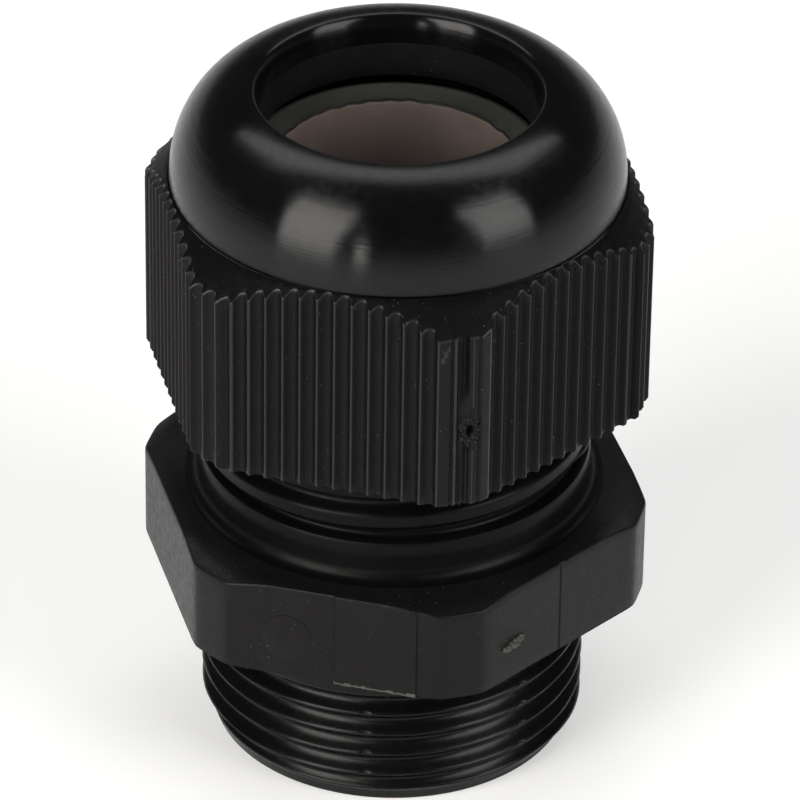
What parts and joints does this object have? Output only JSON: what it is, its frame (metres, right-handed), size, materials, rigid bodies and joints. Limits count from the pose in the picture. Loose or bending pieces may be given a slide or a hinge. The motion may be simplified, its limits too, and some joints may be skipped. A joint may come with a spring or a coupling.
{
  "type": "cable gland",
  "caption": "Straight cable gland with a hex flange, a threaded entry, a ribbed dome nut, a clamping cage and a sleeve seal.",
  "frame": {"origin": "centre of the open end of the entry thread, which is the lowest point of the part", "axes": "+Z along the cable axis from the entry thread to the dome; two flats of the flange face -Y and +Y"},
  "size_m": [0.0298, 0.0272, 0.0422],
  "materials": {
    "body_nylon": "satin moulded black nylon",
    "nut_nylon": "glossy dome over a fine-grained ribbed grip, black nylon",
    "seal_rubber": "dull grey-brown chloroprene"
  },
  "bodies": {
    "gland_body": {"gland_body": "body_nylon"},
    "seal": {"seal_sleeve": "seal_rubber"},
    "dome_nut": {"dome_nut": "nut_nylon"},
    "finger_01": {"finger_01": "body_nylon"},
    "finger_02": {"finger_02": "body_nylon"},
    "finger_03": {"finger_03": "body_nylon"},
    "finger_04": {"finger_04": "body_nylon"},
    "finger_05": {"finger_05": "body_nylon"},
    "finger_06": {"finger_06": "body_nylon"},
    "finger_07": {"finger_07": "body_nylon"},
    "finger_08": {"finger_08": "body_nylon"},
    "finger_09": {"finger_09": "body_nylon"},
    "finger_10": {"finger_10": "body_nylon"},
    "finger_11": {"finger_11": "body_nylon"},
    "finger_12": {"finger_12": "body_nylon"}
  },
  "joints": [
    {"name": "nut_travel", "type": "slide", "parent": "gland_body", "child": "seal", "axis": [0, 0, 1], "range_m": [-0.003, 0], "deforming": ["seal_sleeve"]},
    {"name": "nut_turn", "type": "hinge", "parent": "seal", "child": "dome_nut", "pos_m": [0, 0, 0.0233], "axis": [0, 0, 1], "range_deg": [-540, 0]},
    {"name": "finger_01_fold", "type": "hinge", "parent": "gland_body", "child": "finger_01", "pos_m": [0.0098, 0, 0.0269], "axis": [0, 1, 0], "range_deg": [-7, 0]},
    {"name": "finger_02_fold", "type": "hinge", "parent": "gland_body", "child": "finger_02", "pos_m": [0.00849, 0.0049, 0.0269], "axis": [-0.5, 0.866, 0], "range_deg": [-7, 0]},
    {"name": "finger_03_fold", "type": "hinge", "parent": "gland_body", "child": "finger_03", "pos_m": [0.0049, 0.00849, 0.0269], "axis": [-0.866, 0.5, 0], "range_deg": [-7, 0]},
    {"name": "finger_04_fold", "type": "hinge", "parent": "gland_body", "child": "finger_04", "pos_m": [0, 0.0098, 0.0269], "axis": [-1, 0, 0], "range_deg": [-7, 0]},
    {"name": "finger_05_fold", "type": "hinge", "parent": "gland_body", "child": "finger_05", "pos_m": [-0.0049, 0.00849, 0.0269], "axis": [-0.866, -0.5, 0], "range_deg": [-7, 0]},
    {"name": "finger_06_fold", "type": "hinge", "parent": "gland_body", "child": "finger_06", "pos_m": [-0.00849, 0.0049, 0.0269], "axis": [-0.5, -0.866, 0], "range_deg": [-7, 0]},
    {"name": "finger_07_fold", "type": "hinge", "parent": "gland_body", "child": "finger_07", "pos_m": [-0.0098, 0, 0.0269], "axis": [0, -1, 0], "range_deg": [-7, 0]},
    {"name": "finger_08_fold", "type": "hinge", "parent": "gland_body", "child": "finger_08", "pos_m": [-0.00849, -0.0049, 0.0269], "axis": [0.5, -0.866, 0], "range_deg": [-7, 0]},
    {"name": "finger_09_fold", "type": "hinge", "parent": "gland_body", "child": "finger_09", "pos_m": [-0.0049, -0.00849, 0.0269], "axis": [0.866, -0.5, 0], "range_deg": [-7, 0]},
    {"name": "finger_10_fold", "type": "hinge", "parent": "gland_body", "child": "finger_10", "pos_m": [0, -0.0098, 0.0269], "axis": [1, 0, 0], "range_deg": [-7, 0]},
    {"name": "finger_11_fold", "type": "hinge", "parent": "gland_body", "child": "finger_11", "pos_m": [0.0049, -0.00849, 0.0269], "axis": [0.866, 0.5, 0], "range_deg": [-7, 0]},
    {"name": "finger_12_fold", "type": "hinge", "parent": "gland_body", "child": "finger_12", "pos_m": [0.00849, -0.0049, 0.0269], "axis": [0.5, 0.866, 0], "range_deg": [-7, 0]}
  ],
  "couplings": [
    {"joint": "nut_travel", "follows": "nut_turn", "m_per_rad": 0.00031831},
    {"joint": "finger_01_fold", "follows": "nut_turn", "ratio": 0.012037},
    {"joint": "finger_02_fold", "follows": "nut_turn", "ratio": 0.012037},
    {"joint": "finger_03_fold", "follows": "nut_turn", "ratio": 0.012037},
    {"joint": "finger_04_fold", "follows": "nut_turn", "ratio": 0.012037},
    {"joint": "finger_05_fold", "follows": "nut_turn", "ratio": 0.012037},
    {"joint": "finger_06_fold", "follows": "nut_turn", "ratio": 0.012037},
    {"joint": "finger_07_fold", "follows": "nut_turn", "ratio": 0.012037},
    {"joint": "finger_08_fold", "follows": "nut_turn", "ratio": 0.012037},
    {"joint": "finger_09_fold", "follows": "nut_turn", "ratio": 0.012037},
    {"joint": "finger_10_fold", "follows": "nut_turn", "ratio": 0.012037},
    {"joint": "finger_11_fold", "follows": "nut_turn", "ratio": 0.012037},
    {"joint": "finger_12_fold", "follows": "nut_turn", "ratio": 0.012037}
  ]
}
